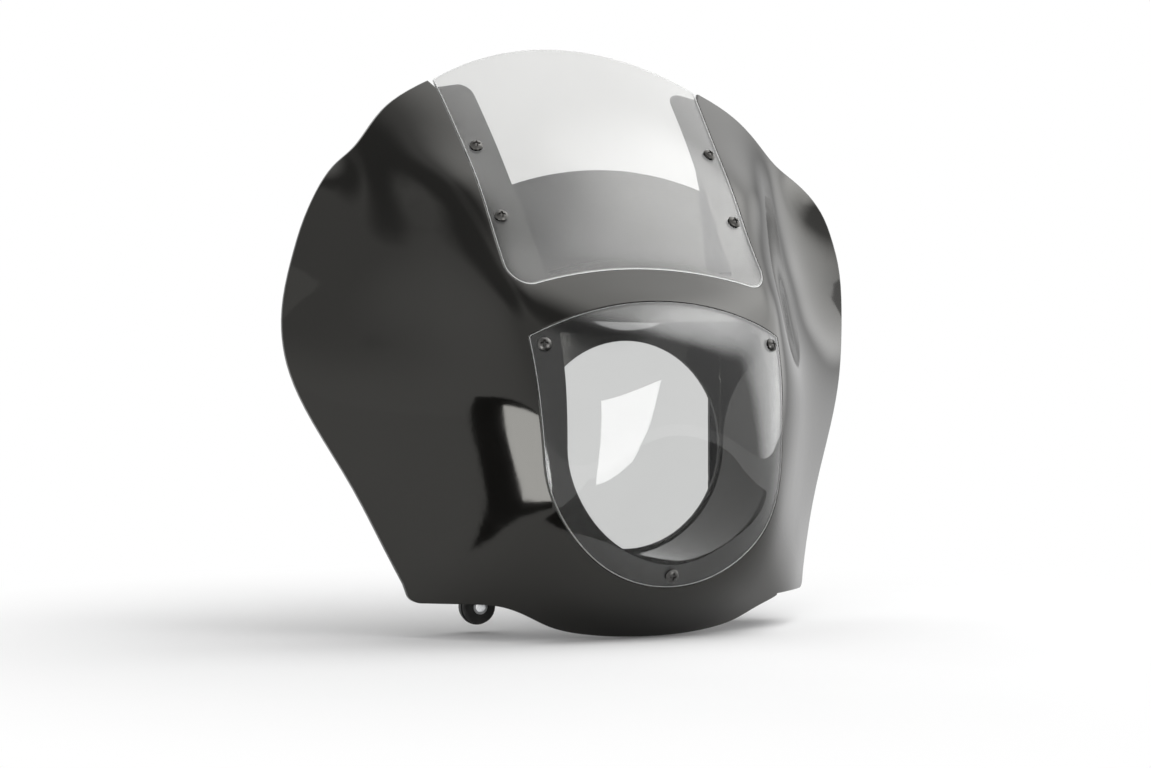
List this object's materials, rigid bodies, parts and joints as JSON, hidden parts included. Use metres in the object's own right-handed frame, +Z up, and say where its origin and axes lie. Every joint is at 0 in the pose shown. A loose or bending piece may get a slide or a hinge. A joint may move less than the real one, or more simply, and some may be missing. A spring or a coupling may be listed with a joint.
{
  "type": "half fairing",
  "caption": "Gloss black moulded half fairing with a flush clear windscreen, a clear headlight cover over a round headlight opening, and steel brackets with rubber fork mounts.",
  "frame": {"origin": "centre of the headlight hole, on the front face of the wall it is cut in", "axes": "+X to the right as seen from in front, +Y to the rear along the axis of the headlight hole, +Z up"},
  "size_m": [0.5252, 0.2322, 0.4895],
  "materials": {
    "shell_plastic": "gloss black moulded plastic",
    "clear_plastic": "clear polished plastic sheet",
    "dark_steel": "blackened steel",
    "bright_steel": "bright steel",
    "zinc_steel": "zinc plated steel",
    "black_steel": "satin black powder coat",
    "black_rubber": "moulded rubber",
    "insert_brass": "turned brass"
  },
  "bodies": {
    "root": {"fairing_shell": "shell_plastic", "windscreen": "clear_plastic", "headlight_lens": "clear_plastic", "windscreen_screws": "dark_steel", "windscreen_washers": "zinc_steel", "windscreen_nuts": "zinc_steel", "lens_screws": "bright_steel", "lens_washers": "zinc_steel", "lens_nuts": "zinc_steel", "right_bracket": "black_steel", "left_bracket": "black_steel", "upper_grommets": "black_rubber", "lower_grommets": "black_rubber", "mount_sleeves": "zinc_steel", "bracket_inserts": "insert_brass", "bracket_washers": "zinc_steel", "bracket_bolts": "zinc_steel"}
  },
  "joints": []
}
